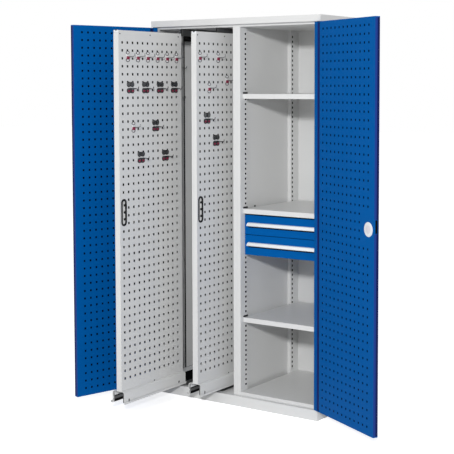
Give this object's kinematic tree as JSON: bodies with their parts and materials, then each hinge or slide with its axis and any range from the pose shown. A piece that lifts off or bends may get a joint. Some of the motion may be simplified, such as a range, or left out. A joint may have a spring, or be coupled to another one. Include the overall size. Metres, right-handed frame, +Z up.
{
  "type": "tool cabinet",
  "caption": "Tall sheet-metal tool cabinet with perforated doors, vertical perforated pull-outs with hooks, shelves and drawers.",
  "frame": {"origin": "centre of the carcass's base, on the floor", "axes": "+Z up, -Y towards the front where the doors open, +X to the viewer's right when facing the front"},
  "size_m": [1.5811, 1.058, 1.95],
  "materials": {
    "grey_paint": "light grey powder coat",
    "blue_paint": "blue powder coat",
    "zinc_steel": "zinc plated",
    "hook_steel": "zinc plated wire and plate",
    "aluminium_strip": "satin anodised",
    "black_plastic": "fine texture",
    "white_plastic": "smooth"
  },
  "bodies": {
    "cabinet": {"plinth": "grey_paint", "base_plate": "grey_paint", "left_side_wall": "grey_paint", "right_side_wall": "grey_paint", "back_panel": "grey_paint", "roof_cap": "grey_paint", "top_front_rail": "grey_paint", "ceiling_panel": "grey_paint", "partition_wall": "grey_paint", "right_floor_tray": "grey_paint", "front_left_upright": "grey_paint", "rear_left_upright": "grey_paint", "front_right_upright": "grey_paint", "rear_right_upright": "grey_paint", "lower_shelf": "grey_paint", "middle_shelf": "grey_paint", "upper_shelf": "grey_paint", "shelf_clips": "zinc_steel", "door_pivot_pins": "zinc_steel", "left_drawer_carrier": "grey_paint", "right_drawer_carrier": "grey_paint", "left_pullout_fixed_rails": "zinc_steel", "middle_pullout_fixed_rails": "zinc_steel"},
    "left_door": {"left_door_shell": "blue_paint", "left_door_sheet": "blue_paint", "left_door_bushes": "white_plastic"},
    "right_door": {"right_door_shell": "blue_paint", "right_door_sheet": "blue_paint", "right_door_bushes": "white_plastic", "lock_case": "zinc_steel", "lock_disc": "white_plastic"},
    "lever": {"door_lever": "black_plastic"},
    "upper_rod": {"upper_lock_rod": "zinc_steel"},
    "lower_rod": {"lower_lock_rod": "zinc_steel"},
    "left_pullout": {"left_pullout_frame": "grey_paint", "left_pullout_right_panel": "grey_paint", "left_pullout_left_panel": "grey_paint", "left_pullout_grip": "black_plastic", "left_pullout_carriage": "grey_paint", "left_pullout_moving_rails": "zinc_steel", "left_pullout_single_hooks": "hook_steel", "left_pullout_double_hooks": "hook_steel"},
    "left_slide_members": {"left_pullout_middle_rails": "zinc_steel"},
    "middle_pullout": {"middle_pullout_frame": "grey_paint", "middle_pullout_right_panel": "grey_paint", "middle_pullout_left_panel": "grey_paint", "middle_pullout_grip": "black_plastic", "middle_pullout_carriage": "grey_paint", "middle_pullout_moving_rails": "zinc_steel", "middle_pullout_single_hooks": "hook_steel", "middle_pullout_double_hooks": "hook_steel"},
    "middle_slide_members": {"middle_pullout_middle_rails": "zinc_steel"},
    "upper_drawer": {"upper_drawer_front": "blue_paint", "upper_drawer_tray": "blue_paint", "upper_drawer_handle": "aluminium_strip", "upper_drawer_runners": "zinc_steel"},
    "lower_drawer": {"lower_drawer_front": "blue_paint", "lower_drawer_tray": "blue_paint", "lower_drawer_handle": "aluminium_strip", "lower_drawer_runners": "zinc_steel"}
  },
  "joints": [
    {"name": "right_door_hinge", "type": "hinge", "parent": "cabinet", "child": "right_door", "pos_m": [0.497, -0.282, 0], "axis": [0, 0, 1], "range_deg": [-152.4, 27.6]},
    {"name": "left_door_hinge", "type": "hinge", "parent": "cabinet", "child": "left_door", "pos_m": [-0.497, -0.282, 0], "axis": [0, 0, -1], "range_deg": [-22, 74]},
    {"name": "lever_turn", "type": "hinge", "parent": "right_door", "child": "lever", "pos_m": [0.90171, -0.48455, 0.981], "axis": [0.4633, 0.8862, 0], "range_deg": [0, 90]},
    {"name": "upper_rod_slide", "type": "slide", "parent": "right_door", "child": "upper_rod", "axis": [0, 0, 1], "range_m": [0, 0.018]},
    {"name": "lower_rod_slide", "type": "slide", "parent": "right_door", "child": "lower_rod", "axis": [0, 0, -1], "range_m": [0, 0.018]},
    {"name": "left_pullout_slide", "type": "slide", "parent": "cabinet", "child": "left_pullout", "axis": [0, -1, 0], "range_m": [-0.506, 0]},
    {"name": "left_members_slide", "type": "slide", "parent": "cabinet", "child": "left_slide_members", "axis": [0, -1, 0], "range_m": [-0.253, 0]},
    {"name": "middle_pullout_slide", "type": "slide", "parent": "cabinet", "child": "middle_pullout", "axis": [0, -1, 0], "range_m": [-0.187, 0.319]},
    {"name": "middle_members_slide", "type": "slide", "parent": "cabinet", "child": "middle_slide_members", "axis": [0, -1, 0], "range_m": [-0.0935, 0.1595]},
    {"name": "upper_drawer_slide", "type": "slide", "parent": "cabinet", "child": "upper_drawer", "axis": [0, -1, 0], "range_m": [0, 0.38]},
    {"name": "lower_drawer_slide", "type": "slide", "parent": "cabinet", "child": "lower_drawer", "axis": [0, -1, 0], "range_m": [0, 0.38]}
  ],
  "couplings": [
    {"joint": "upper_rod_slide", "follows": "lever_turn", "m_per_rad": 0.011459},
    {"joint": "lower_rod_slide", "follows": "lever_turn", "m_per_rad": 0.011459},
    {"joint": "left_members_slide", "follows": "left_pullout_slide", "ratio": 0.5},
    {"joint": "middle_members_slide", "follows": "middle_pullout_slide", "ratio": 0.5}
  ]
}
